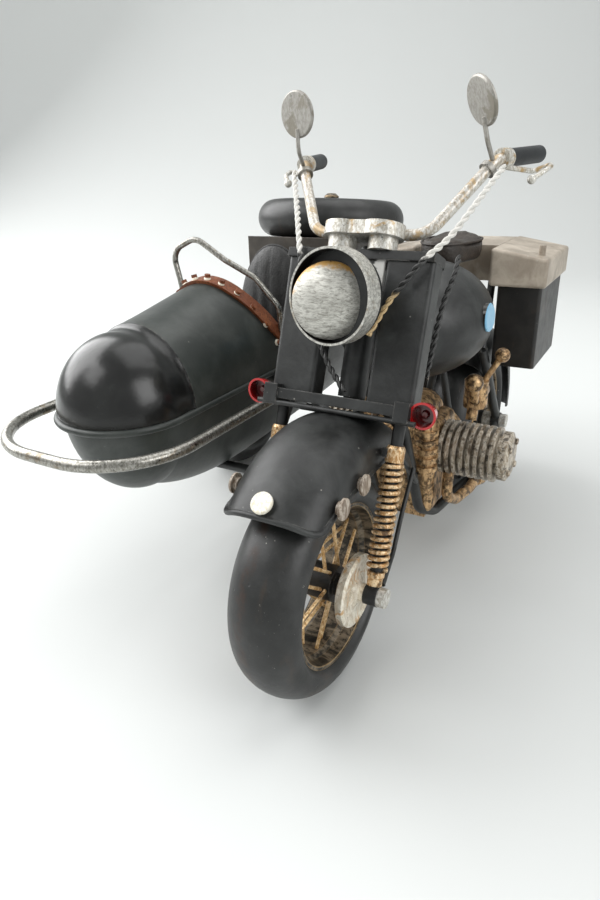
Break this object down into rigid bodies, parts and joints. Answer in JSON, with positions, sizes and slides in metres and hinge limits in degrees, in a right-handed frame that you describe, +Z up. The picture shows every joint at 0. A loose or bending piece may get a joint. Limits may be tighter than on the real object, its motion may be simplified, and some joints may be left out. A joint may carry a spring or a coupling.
{
  "type": "toy motorcycle with sidecar",
  "caption": "Tin display motorcycle with sidecar and spare wheel; the fork steers and the wheels roll.",
  "frame": {"origin": "centre of the footprint of the whole model, on the ground", "axes": "+Z up; -Y forward, the way the headlight looks; +X the motorcycle's left, away from the sidecar"},
  "size_m": [0.2036, 0.2714, 0.2001],
  "materials": {
    "black_tin": "satin",
    "gloss_black": "gloss",
    "dark_grey_tin": "satin",
    "black_hub": "satin",
    "tyre": "matt",
    "copper": "aged",
    "spring_copper": "aged",
    "bronze": "aged",
    "fin_metal": "rough",
    "old_silver": "worn",
    "lamp_band": "worn",
    "mirror_metal": "satin",
    "bumper_nickel": "worn",
    "cable": "twisted",
    "grip_rubber": "matt",
    "red_enamel": "gloss",
    "cream_metal": "satin",
    "badge_blue": "satin",
    "tan_leather": "waxed",
    "seat_leather": "worn",
    "brown_tin": "satin",
    "box_black": "satin"
  },
  "bodies": {
    "chassis": {"frame": "black_tin", "fuel_tank": "black_tin", "tank_cap": "black_tin", "tank_badges": "badge_blue", "engine_cylinders": "fin_metal", "crankcase": "bronze", "carburettors": "bronze", "exhaust_pipes": "bronze", "saddle": "seat_leather", "rear_fender": "black_tin", "pannier_boxes": "box_black", "pannier_lids": "brown_tin", "wheel_axles": "old_silver", "sidecar_nose": "gloss_black", "sidecar_cowl": "dark_grey_tin", "cockpit_trim": "tan_leather", "grab_rail": "bumper_nickel", "sidecar_hull": "dark_grey_tin", "sidecar_seat": "seat_leather", "sidecar_bumper": "bumper_nickel", "sidecar_chassis": "black_tin", "sidecar_fender": "black_tin", "luggage_trunk": "brown_tin", "spare_tyre": "tyre", "spare_rim": "copper"},
    "steering": {"fork_cover_left": "black_tin", "fork_cover_right": "black_tin", "fork_legs": "black_tin", "fork_springs": "spring_copper", "spring_collars": "spring_copper", "lower_yoke": "black_tin", "steering_stem": "black_tin", "handlebar": "old_silver", "handlebar_grips": "grip_rubber", "control_levers": "old_silver", "mirrors": "mirror_metal", "gauge_cluster": "old_silver", "headlight_rim": "lamp_band", "headlight_shell": "black_tin", "headlight_lens": "old_silver", "upper_yoke": "black_tin", "marker_lamps": "red_enamel", "front_fender": "black_tin", "fender_studs": "cream_metal", "fender_stays": "black_tin", "front_axle": "old_silver", "brake_plate": "old_silver", "control_cables": "cable"},
    "front_wheel": {"front_tyre": "tyre", "front_rim": "copper", "front_spokes": "copper", "front_hub": "black_hub"},
    "rear_wheel": {"rear_tyre": "tyre", "rear_rim": "copper", "rear_spokes": "copper", "rear_hub": "black_hub"},
    "sidecar_wheel": {"sidecar_tyre": "tyre", "sidecar_rim": "copper", "sidecar_spokes": "copper", "sidecar_hub": "black_hub"}
  },
  "joints": [
    {"name": "steering", "type": "hinge", "parent": "chassis", "child": "steering", "pos_m": [0.05055, -0.0547, 0.1235], "axis": [0, 0.3502, 0.9367], "range_deg": [-28, 28]},
    {"name": "front_wheel_spin", "type": "hinge", "parent": "steering", "child": "front_wheel", "pos_m": [0.05055, -0.09371, 0.042], "axis": [1, 0, 0], "continuous": true},
    {"name": "rear_wheel_spin", "type": "hinge", "parent": "chassis", "child": "rear_wheel", "pos_m": [0.05055, 0.08429, 0.042], "axis": [1, 0, 0], "continuous": true},
    {"name": "sidecar_wheel_spin", "type": "hinge", "parent": "chassis", "child": "sidecar_wheel", "pos_m": [-0.08695, 0.05629, 0.042], "axis": [1, 0, 0], "continuous": true}
  ]
}
